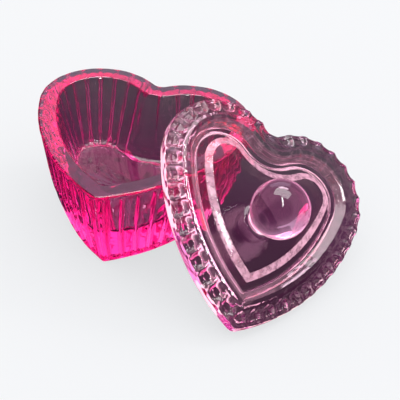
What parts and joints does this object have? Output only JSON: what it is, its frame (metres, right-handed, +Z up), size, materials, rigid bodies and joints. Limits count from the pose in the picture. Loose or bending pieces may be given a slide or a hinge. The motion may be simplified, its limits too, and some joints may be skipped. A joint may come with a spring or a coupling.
{
  "type": "heart-shaped trinket box",
  "caption": "Heart-shaped pressed-glass trinket box with fluted sides; the fluted heart lid with its ball knob is off and leans on one side of the box.",
  "frame": {"origin": "centre of the flat foot of the box, on the ground", "axes": "+Z up, -Y towards the tip of the heart, so the YZ plane is the symmetry plane of the box without its lid"},
  "size_m": [0.141, 0.1072, 0.0627],
  "materials": {
    "pink_glass": "clear pressed glass tinted hot pink, fire-polished"
  },
  "bodies": {
    "box": {"base": "pink_glass"},
    "lid": {"lid": "pink_glass", "knob": "pink_glass"}
  },
  "joints": [
    {"name": "lid_lift", "type": "slide", "parent": "box", "child": "lid", "axis": [0.5582, -0.3293, 0.7616], "range_m": [0, 0.08]}
  ]
}
